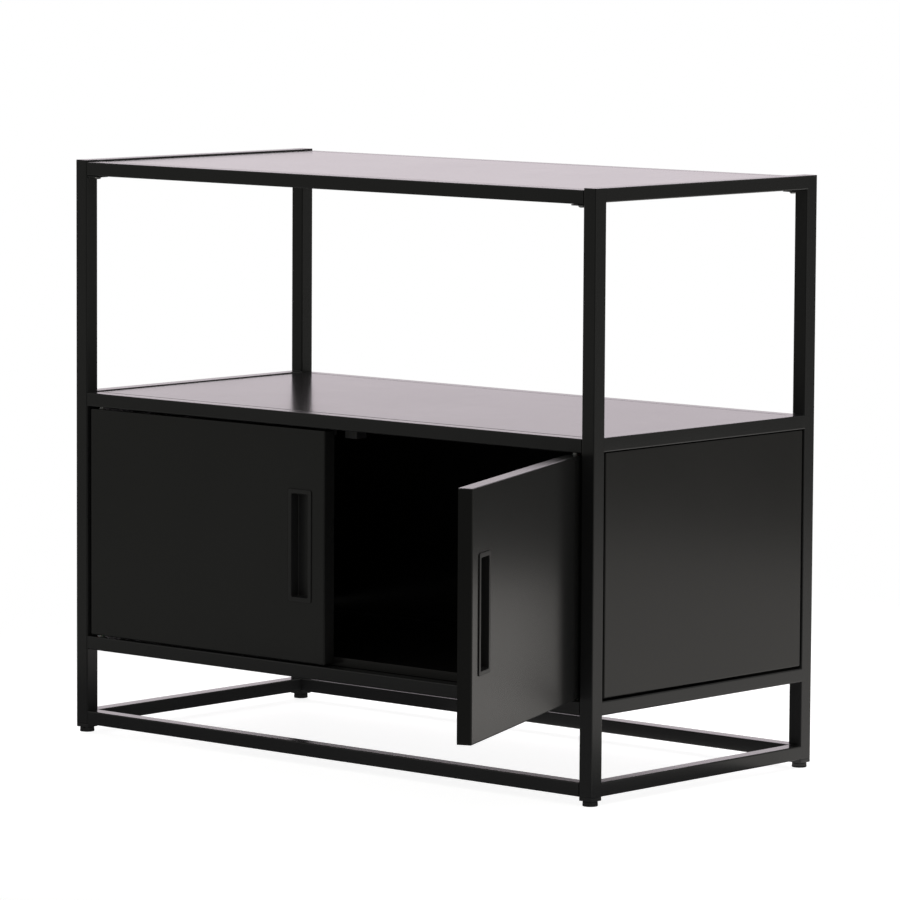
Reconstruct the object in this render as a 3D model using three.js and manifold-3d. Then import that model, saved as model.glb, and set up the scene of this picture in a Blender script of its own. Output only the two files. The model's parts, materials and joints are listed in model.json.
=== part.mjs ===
// Two-door sideboard in black steel: two welded side frames, cross rails at four levels,
// folded sheet panels between them, two pivot-hung doors and four levelling feet.
// Millimetres, +Z up, the doors face -Y, the floor is z = 0.

import * as THREE from 'three';
import { mergeVertices } from 'three/addons/utils/BufferGeometryUtils.js';
import Module from 'manifold-3d';

const wasm = await Module();
wasm.setup();

// ---------------------------------------------------------------- driving dimensions

const WIDTH = 880;
const DEPTH = 430;
const HEIGHT = 748;

const POST = 20; // square post tube, outside
const RAIL_WIDE = 20; // rail tube, across
const RAIL_HIGH = 17.5; // rail tube, up and down
const WALL = 1.5; // wall of every tube
const TUBE_CORNER = 1.2; // outside corner radius of every tube
const SHEET = 1.5; // folded sheet
const FLANGE = 15; // depth of the folded edges
const TOUCH = 0.3; // clearance kept between pieces that meet

const FOOT_HIGH = 11; // floor to the underside of the posts
const BASE_UNDER = FOOT_HIGH; // underside of each level of rails
const LOWER_UNDER = 110;
const MIDDLE_UNDER = 428.5;
const TOP_UNDER = 728;
const SIDE_STEP_MIDDLE = 1.5; // how far the side rails stand above the cross rails
const SIDE_STEP_TOP = HEIGHT - RAIL_HIGH - TOP_UNDER;

const PANEL_REVEAL = 3; // gap below and beside each side panel
const REVEAL_OVER = 1; // gap above each side panel
const BACK_REVEAL = 1; // gap round the back panel
const PANEL_RECESS = 0.5; // panel faces sit this far inside the frame's faces
const STOP_HIGH = 11.5; // stop strip for the doors at the front of the cabinet floor
const STOP_HALF = 380; // the strip ends clear of the doors' hinge corners

const DOOR_THICK = 18;
const DOOR_RECESS = 1.5; // door face behind the frame's front face
const DOOR_MEET = 1; // half of the gap between the two doors
const DOOR_GAP_UNDER = 2.2;
const DOOR_GAP_OVER = 2.8;
const DOOR_EDGE = 12; // pivot to the hinge edge of the door
const PIVOT_INSET = 17.5; // pivot to the post's inner face
const RIGHT_DOOR_OPEN = THREE.MathUtils.degToRad(112);

const PULL_WIDE = 39; // flange of the flush pull
const PULL_HIGH = 142;
const PULL_RIM = 4;
const PULL_PROUD = 1; // thickness of the flange, in front of the door face
const PULL_DEEP = 12.5;
const PULL_WALL = 1.2;
const PULL_EDGE = 22; // flange to the door's free edge

const PIN_RADIUS = 3;
const PIN_IN_DOOR = 12;
const PIN_IN_RAIL = 11;
const COLLAR_RADIUS = 4.6;
const COLLAR_HIGH = 3;
const WASHER_RADIUS = 6;
const BUSH_RADIUS = 5;
const BUSH_LONG = 15;

const CATCH_X = 25; // centre of each catch from the middle of the sideboard
const CATCH_WIDE = 20;
const CATCH_DEEP = 18;
const CATCH_HIGH = 14;
const CATCH_TAB = 2.4;
const STRIKE_WIDE = 18;
const STRIKE_HIGH = 10;
const STRIKE_THICK = 1.2;

const FOOT_RADIUS = 9.5;
const PLUG_FLANGE = 4.2; // flange of the plug, as wide as the post and under it
const STEM_RADIUS = 4;
const STEM_TOP = 38;
const PLUG_HIGH = 25;
const PLATE = 20; // square joint plate under each end of the top rails
const PLATE_THICK = 1.5;
const PLATE_HOLE = 2.6;

const ROUND_STEPS = 20; // sides of a round piece

// ---------------------------------------------------------------- finishes

function finish(color, roughness, metalness) {
  return () => new THREE.MeshStandardMaterial({ color, roughness, metalness });
}

const frameBlack = finish(0x1a1a1b, 0.42, 0.2);
const panelBlack = finish(0x1c1c1d, 0.38, 0.2);
const doorBlack = finish(0x1b1b1c, 0.4, 0.2);
const pullBlack = finish(0x141415, 0.5, 0);
const zinc = finish(0xb4b6b8, 0.32, 1);
const nylon = finish(0xe4e2dc, 0.5, 0);
const catchBlack = finish(0x3a3b3d, 0.5, 0);
const footBlack = finish(0x111112, 0.6, 0);

// ---------------------------------------------------------------- shapes

function toManifold(geometry) {
  const bare = geometry.clone();
  bare.deleteAttribute('normal');
  bare.deleteAttribute('uv');
  const merged = mergeVertices(bare, 1e-4);
  return new wasm.Manifold(new wasm.Mesh({
    numProp: 3,
    vertProperties: new Float32Array(merged.attributes.position.array),
    triVerts: new Uint32Array(merged.index.array),
  }));
}

function toGeometry(manifold) {
  const mesh = manifold.getMesh();
  const geometry = new THREE.BufferGeometry();
  geometry.setAttribute('position', new THREE.BufferAttribute(mesh.vertProperties, 3));
  geometry.setIndex(new THREE.BufferAttribute(mesh.triVerts, 1));
  geometry.computeVertexNormals();
  return geometry;
}

function cut(geometry, ...tools) {
  const start = toManifold(geometry);
  return toGeometry(tools.reduce((solid, tool) => solid.subtract(toManifold(tool)), start));
}

function join(geometry, ...others) {
  const start = toManifold(geometry);
  return toGeometry(others.reduce((solid, other) => solid.add(toManifold(other)), start));
}

// A block between two opposite corners.
function block([x0, y0, z0], [x1, y1, z1]) {
  const geometry = new THREE.BoxGeometry(x1 - x0, y1 - y0, z1 - z0);
  return geometry.translate((x0 + x1) / 2, (y0 + y1) / 2, (z0 + z1) / 2);
}

// An upright round rod centred on (x, y), from z0 to z1.
function rod(x, y, radius, z0, z1) {
  const geometry = new THREE.CylinderGeometry(radius, radius, z1 - z0, ROUND_STEPS);
  return geometry.rotateX(Math.PI / 2).translate(x, y, (z0 + z1) / 2);
}

// A ring-shaped or solid turning about Z, from [radius, z] points in order up the outside.
function turned(profile) {
  const points = profile.map(([radius, z]) => new THREE.Vector2(radius, z));
  return new THREE.LatheGeometry(points, ROUND_STEPS).rotateX(Math.PI / 2);
}

function ring(inner, outer, z0, z1) {
  return turned([[inner, z0], [outer, z0], [outer, z1], [inner, z1], [inner, z0]]);
}

// Rounded rectangle centred on the origin.
function roundedOutline(Kind, wide, high, radius) {
  const x = wide / 2;
  const y = high / 2;
  const outline = new Kind();
  outline.moveTo(x - radius, -y);
  outline.absarc(x - radius, -y + radius, radius, -Math.PI / 2, 0);
  outline.absarc(x - radius, y - radius, radius, 0, Math.PI / 2);
  outline.absarc(-x + radius, y - radius, radius, Math.PI / 2, Math.PI);
  outline.absarc(-x + radius, -y + radius, radius, Math.PI, 1.5 * Math.PI);
  outline.closePath();
  return outline;
}

// A rectangular tube along +Z from 0 to length, open at both ends.
function tube(wide, high, length) {
  const section = roundedOutline(THREE.Shape, wide, high, TUBE_CORNER);
  section.holes.push(roundedOutline(THREE.Path, wide - 2 * WALL, high - 2 * WALL, WALL / 4));
  return new THREE.ExtrudeGeometry(section, { depth: length, bevelEnabled: false, curveSegments: 1 });
}

// A folded sheet tray: a face with four edges turned down FLANGE deep, face up at z = 0.
function tray(wide, deep, flange = FLANGE) {
  const x = wide / 2;
  const y = deep / 2;
  const outside = block([-x, -y, -flange], [x, y, 0]);
  const inside = block([-x + SHEET, -y + SHEET, -flange - 1], [x - SHEET, y - SHEET, -SHEET]);
  return cut(outside, inside);
}

// ---------------------------------------------------------------- assembly helpers

const sideboard = new THREE.Group();

function add(parent, name, geometry, makeMaterial, position = [0, 0, 0]) {
  const mesh = new THREE.Mesh(geometry, makeMaterial());
  mesh.name = name;
  mesh.position.set(...position);
  parent.add(mesh);
  return mesh;
}

const SIDES = [['left', -1], ['right', 1]];
const FACES = [['front', -1], ['back', 1]];
const postX = (WIDTH - POST) / 2;
const postY = (DEPTH - POST) / 2;
const innerX = WIDTH / 2 - POST; // inner faces of the posts
const innerY = DEPTH / 2 - POST;
const pivotX = innerX - PIVOT_INSET;
const doorFaceY = -DEPTH / 2 + DOOR_RECESS;
const pivotY = doorFaceY + DOOR_THICK / 2;
const doorUnder = LOWER_UNDER + RAIL_HIGH + DOOR_GAP_UNDER;
const doorOver = MIDDLE_UNDER - DOOR_GAP_OVER;

// ---------------------------------------------------------------- posts and feet

// A solid bar with the post's outline.
function bar(long) {
  const section = roundedOutline(THREE.Shape, POST, POST, TUBE_CORNER);
  return new THREE.ExtrudeGeometry(section, { depth: long, bevelEnabled: false, curveSegments: 1 });
}

function postGeometry() {
  const long = HEIGHT - FOOT_HIGH;
  const bore = POST / 2 - WALL;
  return cut(bar(long), block([-bore, -bore, -1], [bore, bore, long - WALL]));
}

function plugGeometry() {
  const half = POST / 2 - WALL - TOUCH;
  const under = -TOUCH - PLUG_FLANGE;
  const flange = bar(PLUG_FLANGE).translate(0, 0, under);
  const body = join(flange, block([-half, -half, under], [half, half, PLUG_HIGH]));
  return cut(body, rod(0, 0, STEM_RADIUS + TOUCH, under - 1, PLUG_HIGH + 1));
}

function footGeometry() {
  const padHigh = FOOT_HIGH - PLUG_FLANGE - 2 * TOUCH;
  return turned([
    [0, 0], [FOOT_RADIUS - 0.6, 0], [FOOT_RADIUS, 0.6], [FOOT_RADIUS - 0.4, padHigh], [STEM_RADIUS, padHigh],
    [STEM_RADIUS, STEM_TOP - 1], [STEM_RADIUS - 1, STEM_TOP], [0, STEM_TOP],
  ]);
}

for (const [face, fy] of FACES) {
  for (const [side, sx] of SIDES) {
    const place = [sx * postX, fy * postY];
    add(sideboard, `post_${face}_${side}`, postGeometry(), frameBlack, [...place, FOOT_HIGH]);
    add(sideboard, `plug_${face}_${side}`, plugGeometry(), footBlack, [...place, FOOT_HIGH]);
    add(sideboard, `foot_${face}_${side}`, footGeometry(), footBlack, [...place, 0]);
  }
}

// ---------------------------------------------------------------- rails

const LEVELS = [
  ['base', BASE_UNDER, 0],
  ['lower', LOWER_UNDER, 0],
  ['middle', MIDDLE_UNDER, SIDE_STEP_MIDDLE],
  ['top', TOP_UNDER, SIDE_STEP_TOP],
];

function sideRailGeometry() {
  const long = DEPTH - 2 * POST - 2 * TOUCH;
  return tube(RAIL_WIDE, RAIL_HIGH, long).rotateX(Math.PI / 2).translate(0, long / 2, RAIL_HIGH / 2);
}

// The cross rails that carry the door pivots have a hole for each pin in the wall that faces the door.
function crossRailGeometry(pinWallZ) {
  const long = WIDTH - 2 * POST - 2 * TOUCH;
  const rail = tube(RAIL_HIGH, RAIL_WIDE, long).rotateY(Math.PI / 2).translate(-long / 2, 0, RAIL_HIGH / 2);
  if (pinWallZ === undefined) return rail;
  const holes = SIDES.map(([, sx]) => rod(
    sx * pivotX, pivotY + postY, PIN_RADIUS + TOUCH, pinWallZ - WALL - 1, pinWallZ + WALL + 1,
  ));
  return cut(rail, ...holes);
}

const PIN_WALL = { front_lower: RAIL_HIGH, front_middle: 0 };

for (const [level, under, step] of LEVELS) {
  for (const [side, sx] of SIDES) {
    const name = `side_rail_${level}_${side}`;
    add(sideboard, name, sideRailGeometry(), frameBlack, [sx * postX, 0, under + step]);
  }
  for (const [face, fy] of FACES) {
    const rail = crossRailGeometry(PIN_WALL[`${face}_${level}`]);
    add(sideboard, `${face}_rail_${level}`, rail, frameBlack, [0, fy * postY, under]);
  }
}

// Square plates under the ends of the top rails take the screws that hold rail and side frame.
function plateGeometry() {
  const plate = block([-PLATE / 2, -PLATE / 2, 0], [PLATE / 2, PLATE / 2, PLATE_THICK]);
  return cut(plate, rod(0, 0, PLATE_HOLE, -1, PLATE_THICK + 1));
}

for (const [face, fy] of FACES) {
  for (const [side, sx] of SIDES) {
    const x = sx * (innerX - TOUCH - PLATE / 2);
    const z = TOP_UNDER - TOUCH - PLATE_THICK;
    add(sideboard, `joint_plate_${face}_${side}`, plateGeometry(), frameBlack, [x, fy * postY, z]);
  }
}

// ---------------------------------------------------------------- panels

const spanX = 2 * (innerX - TOUCH);
const spanY = 2 * (innerY - TOUCH);
const railTop = (under) => under + RAIL_HIGH;

add(sideboard, 'top_panel', tray(spanX, spanY), panelBlack, [0, 0, railTop(TOP_UNDER)]);
add(sideboard, 'shelf_panel', tray(spanX, spanY), panelBlack, [0, 0, railTop(MIDDLE_UNDER)]);

add(sideboard, 'floor_panel', tray(spanX, spanY), panelBlack, [0, 0, railTop(LOWER_UNDER)]);

// The stop strip for the doors stands on the cabinet floor, along its front edge.
const stop = block([-STOP_HALF, -spanY / 2, TOUCH], [STOP_HALF, -spanY / 2 + SHEET, STOP_HIGH]);
add(sideboard, 'door_stop', stop, panelBlack, [0, 0, railTop(LOWER_UNDER)]);

const panelUnder = railTop(LOWER_UNDER) + PANEL_REVEAL;
const sidePanelHigh = MIDDLE_UNDER + SIDE_STEP_MIDDLE - REVEAL_OVER - panelUnder;

for (const [side, sx] of SIDES) {
  const panel = tray(sidePanelHigh, 2 * (innerY - PANEL_REVEAL)).rotateY(sx * Math.PI / 2);
  const place = [sx * (WIDTH / 2 - PANEL_RECESS), 0, panelUnder + sidePanelHigh / 2];
  add(sideboard, `side_panel_${side}`, panel, panelBlack, place);
}

const backPanelHigh = MIDDLE_UNDER - railTop(LOWER_UNDER) - 2 * BACK_REVEAL;
const backPanel = tray(2 * (innerX - BACK_REVEAL), backPanelHigh).rotateX(-Math.PI / 2);
const backPlace = [0, DEPTH / 2 - PANEL_RECESS, (railTop(LOWER_UNDER) + MIDDLE_UNDER) / 2];
add(sideboard, 'back_panel', backPanel, panelBlack, backPlace);

// ---------------------------------------------------------------- doors

// A door is modelled shut, about its pivot: sx is the hinge side, the free edge is towards -sx.
const doorX = (sx, fromPivot) => -sx * fromPivot;
const doorLong = pivotX - DOOR_MEET; // pivot to the free edge
const doorHigh = doorOver - doorUnder;
const faceY = -DOOR_THICK / 2;
const backY = DOOR_THICK / 2;
const pullFar = doorLong - PULL_EDGE; // the edges of the flange, from the pivot
const pullNear = pullFar - PULL_WIDE;
const pullUnder = (doorHigh - PULL_HIGH) / 2;

// A block between two distances from the pivot, on either hand of door.
function doorBlock(sx, [from, y0, z0], [to, y1, z1]) {
  const ends = [doorX(sx, from), doorX(sx, to)];
  return block([Math.min(...ends), y0, z0], [Math.max(...ends), y1, z1]);
}

function doorSkin(sx) {
  const outside = doorBlock(sx, [-DOOR_EDGE, faceY, 0], [doorLong, backY, doorHigh]);
  const inside = doorBlock(
    sx, [-DOOR_EDGE + SHEET, faceY + SHEET, SHEET], [doorLong - SHEET, backY + 1, doorHigh - SHEET],
  );
  const window = doorBlock(
    sx, [pullNear + PULL_RIM, faceY - 1, pullUnder + PULL_RIM],
    [pullFar - PULL_RIM, faceY + SHEET + 1, pullUnder + PULL_HIGH - PULL_RIM],
  );
  return cut(outside, inside, window, rod(0, 0, BUSH_RADIUS + TOUCH, -1, doorHigh + 1));
}

function doorLiner(sx) {
  const edge = SHEET + TOUCH;
  return doorBlock(
    sx, [-DOOR_EDGE + edge, backY - SHEET, edge], [doorLong - edge, backY, doorHigh - edge],
  );
}

function doorPull(sx) {
  const front = faceY - TOUCH - PULL_PROUD;
  const bottom = faceY + PULL_DEEP;
  const step = PULL_RIM + TOUCH;
  const wall = step + PULL_WALL;
  const flange = doorBlock(
    sx, [pullNear, front, pullUnder], [pullFar, faceY - TOUCH, pullUnder + PULL_HIGH],
  );
  const cup = doorBlock(
    sx, [pullNear + step, front + PULL_PROUD / 2, pullUnder + step],
    [pullFar - step, bottom, pullUnder + PULL_HIGH - step],
  );
  const hollow = doorBlock(
    sx, [pullNear + wall, front - 1, pullUnder + wall],
    [pullFar - wall, bottom - PULL_WALL, pullUnder + PULL_HIGH - wall],
  );
  return cut(join(flange, cup), hollow);
}

function doorStrike(sx) {
  const centre = pivotX - CATCH_X;
  const top = doorHigh - TOUCH - 2;
  return doorBlock(
    sx, [centre - STRIKE_WIDE / 2, backY + TOUCH, top - STRIKE_HIGH],
    [centre + STRIKE_WIDE / 2, backY + TOUCH + STRIKE_THICK, top],
  );
}

for (const [side, sx] of SIDES) {
  const door = new THREE.Group();
  door.position.set(sx * pivotX, pivotY, doorUnder);
  door.rotation.z = side === 'right' ? RIGHT_DOOR_OPEN : 0;
  sideboard.add(door);

  const bush = ring(PIN_RADIUS + TOUCH, BUSH_RADIUS, 0, BUSH_LONG);
  add(door, `door_skin_${side}`, doorSkin(sx), doorBlack);
  add(door, `door_liner_${side}`, doorLiner(sx), doorBlack);
  add(door, `door_pull_${side}`, doorPull(sx), pullBlack);
  add(door, `strike_${side}`, doorStrike(sx), zinc);
  add(door, `bush_under_${side}`, bush, nylon);
  add(door, `bush_over_${side}`, bush.clone(), nylon, [0, 0, doorHigh - BUSH_LONG]);
}

// ---------------------------------------------------------------- pivots and catches

// Each door hangs between two pins, and its weight rests on the washer round the lower one.

// A pin from the door end (z = 0) to the rail end, with a collar that stays inside the rail.
function pinGeometry(gap) {
  const seat = PIN_IN_DOOR + gap + WALL + TOUCH;
  const end = PIN_IN_DOOR + gap + PIN_IN_RAIL;
  return turned([
    [0, 0], [PIN_RADIUS - 0.6, 0], [PIN_RADIUS, 0.8], [PIN_RADIUS, seat], [COLLAR_RADIUS, seat],
    [COLLAR_RADIUS, seat + COLLAR_HIGH], [PIN_RADIUS, seat + COLLAR_HIGH], [PIN_RADIUS, end], [0, end],
  ]);
}

for (const [side, sx] of SIDES) {
  const place = [sx * pivotX, pivotY];
  add(sideboard, `pin_over_${side}`, pinGeometry(DOOR_GAP_OVER), zinc, [...place, doorOver - PIN_IN_DOOR]);
  const under = pinGeometry(DOOR_GAP_UNDER).rotateX(Math.PI);
  add(sideboard, `pin_under_${side}`, under, zinc, [...place, doorUnder + PIN_IN_DOOR]);
  const washer = ring(PIN_RADIUS + TOUCH, WASHER_RADIUS, TOUCH, DOOR_GAP_UNDER - TOUCH);
  add(sideboard, `washer_under_${side}`, washer, nylon, [...place, doorUnder - DOOR_GAP_UNDER]);
}

// Each magnetic catch hangs from the shelf's front flange by a tab behind the flange.
const catchY = pivotY + backY + STRIKE_THICK + 3 * TOUCH;

function catchGeometry() {
  const half = CATCH_WIDE / 2;
  const tabY = -spanY / 2 + SHEET + TOUCH - catchY;
  const body = block([-half, 0, -CATCH_HIGH], [half, CATCH_DEEP, 0]);
  const tab = block([-half, tabY, -1], [half, tabY + CATCH_TAB, FLANGE - SHEET]);
  return join(body, tab);
}

for (const [side, sx] of SIDES) {
  const z = railTop(MIDDLE_UNDER) - FLANGE - TOUCH;
  add(sideboard, `catch_${side}`, catchGeometry(), catchBlack, [sx * CATCH_X, catchY, z]);
}

// ---------------------------------------------------------------- origin

// The origin is the middle of the ground plan as the sideboard stands, right door open.
const extent = new THREE.Box3().setFromObject(sideboard, true);
const middle = extent.getCenter(new THREE.Vector3());
sideboard.position.set(-middle.x, -middle.y, 0);

export default sideboard;
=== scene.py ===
# %% [markdown]
# # A black steel sideboard with two doors
#
# The sideboard is a frame of square steel tube with folded sheet panels, two pivot-hung doors and
# four levelling feet, all powder coated black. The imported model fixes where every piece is. Each cell
# below builds one kind of piece with the finish and the small forms of the real one, in the same place.

# %% Load the fixed frame
import json
import math

import bmesh
import bpy
from mathutils import Euler, Matrix, Vector


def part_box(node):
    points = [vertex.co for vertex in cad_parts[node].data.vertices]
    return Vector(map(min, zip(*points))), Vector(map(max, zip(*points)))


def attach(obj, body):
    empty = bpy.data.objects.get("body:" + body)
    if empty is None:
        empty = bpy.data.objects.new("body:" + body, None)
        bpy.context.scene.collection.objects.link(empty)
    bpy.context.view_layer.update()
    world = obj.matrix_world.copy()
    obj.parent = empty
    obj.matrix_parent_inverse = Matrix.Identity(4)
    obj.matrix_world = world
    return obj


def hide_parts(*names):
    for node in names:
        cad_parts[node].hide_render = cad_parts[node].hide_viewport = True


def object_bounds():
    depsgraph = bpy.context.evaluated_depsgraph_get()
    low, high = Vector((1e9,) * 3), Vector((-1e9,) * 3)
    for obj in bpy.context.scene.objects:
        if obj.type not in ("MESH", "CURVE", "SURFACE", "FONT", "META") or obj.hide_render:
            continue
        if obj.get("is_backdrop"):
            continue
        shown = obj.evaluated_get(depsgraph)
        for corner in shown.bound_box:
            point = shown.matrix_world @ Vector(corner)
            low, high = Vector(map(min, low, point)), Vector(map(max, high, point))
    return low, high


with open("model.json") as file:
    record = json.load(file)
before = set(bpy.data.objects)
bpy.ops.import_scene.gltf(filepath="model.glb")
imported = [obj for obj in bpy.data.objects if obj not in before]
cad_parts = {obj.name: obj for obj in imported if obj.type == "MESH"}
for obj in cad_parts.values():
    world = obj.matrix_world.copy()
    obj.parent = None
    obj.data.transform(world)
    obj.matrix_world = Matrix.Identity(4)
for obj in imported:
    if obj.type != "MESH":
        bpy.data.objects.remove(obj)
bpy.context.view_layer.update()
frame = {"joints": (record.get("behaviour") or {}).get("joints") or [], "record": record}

# %% [markdown]
# ## Where things are
#
# Nothing is placed by eye. The places come from the boxes of the fixed nodes, and the few lengths
# that a box can't tell, such as the wall of a tube, are named here in metres. The left door is shut,
# so its pieces are modelled on the left, and a mirrored copy is turned open about the right pivot.

# %% Places and lengths shared by many pieces
SIDES = ("left", "right")
FACES = ("front", "back")
LEVELS = ("base", "lower", "middle", "top")

TUBE_WALL = 0.0015
TUBE_CORNER = 0.0017
SHEET = 0.0015
BEND = 0.0018
FINE_EDGE = 0.0003
SQUARE_ON = 0.99  # a direction counts as the same when the cosine between the two passes this
HAIR = 1e-5

X = Vector((1, 0, 0))
Y = Vector((0, 1, 0))
Z = Vector((0, 0, 1))

joints = {joint["name"]: joint for joint in frame["joints"]}
left_pivot = Vector(joints["left_door_hinge"]["pos_m"])
right_pivot = Vector(joints["right_door_hinge"]["pos_m"])
right_door_open = math.radians(-joints["right_door_hinge"]["range_deg"][0])

post_low, post_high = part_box("post_front_left")
middle = (post_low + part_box("post_back_right")[1]) / 2
middle.z = 0
print("middle of the plan", tuple(round(v, 4) for v in middle))
print("right door stands open by", round(math.degrees(right_door_open)), "degrees")

body_of_node = {
    node: body for body, nodes in frame["record"]["behaviour"]["bodies"].items() for node in nodes
}
slot_of_node = {part["node"]: part["material_slot"] for part in frame["record"]["subparts"]}

# %% [markdown]
# ## Selecting by hand
#
# Blender's operators act on whatever is selected. So each helper deselects everything first, and
# `choose` opens a piece in edit mode with only the faces or edges that pass a test selected. A test
# reads an element's direction or place, as a person would pick it by eye.

# %% Select pieces, faces and edges
def select_only(*pieces):
    """Selects these pieces in object mode and nothing else, and makes the first one active."""
    if bpy.context.mode != "OBJECT":
        bpy.ops.object.mode_set(mode="OBJECT")
    bpy.ops.object.select_all(action="DESELECT")
    for piece in pieces:
        piece.select_set(True)
    bpy.context.view_layer.objects.active = pieces[0]


def choose(piece, kind, test):
    """Opens the piece in edit mode with only its faces or edges that pass the test selected."""
    if bpy.context.mode != "EDIT_MESH":
        select_only(piece)
        bpy.ops.object.mode_set(mode="EDIT")
    bpy.ops.mesh.select_mode(type=kind)
    bpy.ops.mesh.select_all(action="DESELECT")
    shape = bmesh.from_edit_mesh(piece.data)
    shape.normal_update()
    for element in shape.faces if kind == "FACE" else shape.edges:
        if test(element):
            element.select_set(True)
    bmesh.update_edit_mesh(piece.data)


def settle():
    """Puts the active object's place, turn and size into its mesh."""
    bpy.ops.object.transform_apply(location=True, rotation=True, scale=True)


def faces_towards(direction):
    return lambda face: face.normal.dot(direction) > SQUARE_ON


def end_faces(direction):
    """Faces that look along the direction either way, such as both ends of a tube."""
    return lambda face: abs(face.normal.dot(direction)) > SQUARE_ON


def edges_along(direction):
    def test(edge):
        return abs((edge.verts[1].co - edge.verts[0].co).normalized().dot(direction)) > SQUARE_ON
    return test


def edges_at(direction, place):
    """Edges whose two ends both lie at this place along the direction."""
    return lambda edge: all(abs(vert.co.dot(direction) - place) < HAIR for vert in edge.verts)


print("selection helpers ready")

# %% [markdown]
# ## Starting and repeating a piece
#
# Nearly every piece starts as a cube or a cylinder, added at its real size and place. What repeats is
# made once and copied, and each copy gets a mesh of its own. A finished piece keeps its place in its
# mesh, with its object at the origin, so every move is applied at once. A mirrored copy comes out
# inside out, so its faces are flipped back.

# %% Add a primitive, copy it, mirror it, tip it
def add_block(name, low, high):
    """A cube primitive that fills the box between two corners."""
    bpy.ops.object.select_all(action="DESELECT")
    low, high = Vector(low), Vector(high)
    bpy.ops.mesh.primitive_cube_add(size=1, location=(low + high) / 2, scale=high - low)
    settle()
    bpy.context.object.name = name
    return bpy.context.object


def add_rod(name, centre, radius, bottom, top, sides=32):
    """An upright round rod round the centre's x and y."""
    bpy.ops.object.select_all(action="DESELECT")
    place = (centre.x, centre.y, (bottom + top) / 2)
    bpy.ops.mesh.primitive_cylinder_add(vertices=sides, radius=radius, depth=top - bottom, location=place)
    settle()
    bpy.context.object.name = name
    return bpy.context.object


def copy_piece(piece, name, shift=(0, 0, 0)):
    """A copy with its own mesh, moved by the shift."""
    select_only(piece)
    bpy.ops.object.duplicate(linked=False)
    copy = bpy.context.object
    copy.name = name
    copy.location = Vector(shift)
    settle()
    return copy


def mirrored_copy(piece, name):
    """A copy on the other side of the sideboard's middle, with its faces turned out again."""
    copy = copy_piece(piece, name)
    copy.scale.x = -1
    copy.location.x = 2 * middle.x
    settle()
    choose(copy, "FACE", lambda face: True)
    bpy.ops.mesh.flip_normals()
    select_only(copy)
    return copy


def tip(piece, centre, axis, degrees):
    """Turns a piece about an axis of the frame that runs through the centre."""
    spin = Matrix.Rotation(math.radians(degrees), 4, axis)
    piece.matrix_world = Matrix.Translation(centre) @ spin @ Matrix.Translation(-Vector(centre))
    select_only(piece)
    settle()


print("adding and copying helpers ready")

# %% [markdown]
# ## Finishing a piece
#
# A modifier is added with its settings and applied at once. The bevel that ends most pieces breaks the
# edges by a fraction of a millimetre, because no painted steel edge is a perfect line, and that is what
# catches the light. `dress` then shades the piece, gives it its finish and hangs it on its body.

# %% Cut, close, soften and dress
def apply_modifier(piece, kind, **settings):
    """Adds a modifier with these settings and applies it."""
    select_only(piece)
    modifier = piece.modifiers.new(kind.lower(), kind)
    for key, value in settings.items():
        setattr(modifier, key, value)
    bpy.ops.object.modifier_apply(modifier=modifier.name)


def cut_out(piece, cutter):
    """Cuts the cutter's shape out of the piece and throws the cutter away."""
    apply_modifier(piece, "BOOLEAN", operation="DIFFERENCE", solver="EXACT", object=cutter)
    bpy.data.objects.remove(cutter)


def close_up(piece):
    """Merges doubled points and turns every face outwards."""
    choose(piece, "FACE", lambda face: True)
    bpy.ops.mesh.remove_doubles(threshold=HAIR / 10)
    bpy.ops.mesh.normals_make_consistent(inside=False)
    select_only(piece)


def soften(piece, width=FINE_EDGE, segments=2, angle=40):
    """Breaks the sharp edges, as paint and deburring do."""
    apply_modifier(
        piece, "BEVEL", width=width, segments=segments, limit_method="ANGLE",
        angle_limit=math.radians(angle), use_clamp_overlap=True,
    )


def dress(piece, material, body, slot, *nodes):
    """Smooths the piece, gives it its finish, and hangs it on a body in place of its fixed nodes."""
    select_only(piece)
    bpy.ops.object.shade_smooth_by_angle(angle=math.radians(40))
    apply_modifier(piece, "WEIGHTED_NORMAL", keep_sharp=True, weight=100)
    piece.data.materials.clear()
    piece.data.materials.append(material)
    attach(piece, body)
    if nodes:
        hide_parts(*nodes)


def dress_node(piece, node, material):
    """Dresses a piece that stands for one fixed node, with that node's body."""
    piece.name = node + "_finished"
    dress(piece, material, body_of_node[node], slot_of_node[node], node)


print("finishing helpers ready")

# %% [markdown]
# ## Shader maths
#
# A finish is easier to read as a formula than as a web of nodes. This small class wraps one output of
# a node, and Python's operators on it add the Math nodes. Every other node comes from its `node`
# method, with the node's settings first and then the values or links of its inputs.

# %% A socket that can be calculated with
class Shade:
    def __init__(self, tree, socket=None):
        self.tree = tree
        self.socket = socket

    def node(self, kind, settings=None, inputs=None, output=0):
        made = self.tree.nodes.new("ShaderNode" + kind)
        for key, value in (settings or {}).items():
            setattr(made, key, value)
        for key, value in (inputs or {}).items():
            if isinstance(value, Shade):
                self.tree.links.new(value.socket, made.inputs[key])
            else:
                made.inputs[key].default_value = value
        return Shade(self.tree, made.outputs[output] if made.outputs else None)

    def math(self, operation, first, second):
        return self.node("Math", {"operation": operation}, {0: first, 1: second})

    def __add__(self, other):
        return self.math("ADD", self, other)

    def __sub__(self, other):
        return self.math("SUBTRACT", self, other)

    def __rsub__(self, other):
        return self.math("SUBTRACT", other, self)

    def __mul__(self, other):
        return self.math("MULTIPLY", self, other)

    __radd__ = __add__
    __rmul__ = __mul__


def new_material(name):
    """An empty material and a start for its nodes."""
    material = bpy.data.materials.new(name)
    material.use_nodes = True
    material.node_tree.nodes.clear()
    return material, Shade(material.node_tree)


def output_surface(start, shader):
    start.node("OutputMaterial", inputs={"Surface": shader})


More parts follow.
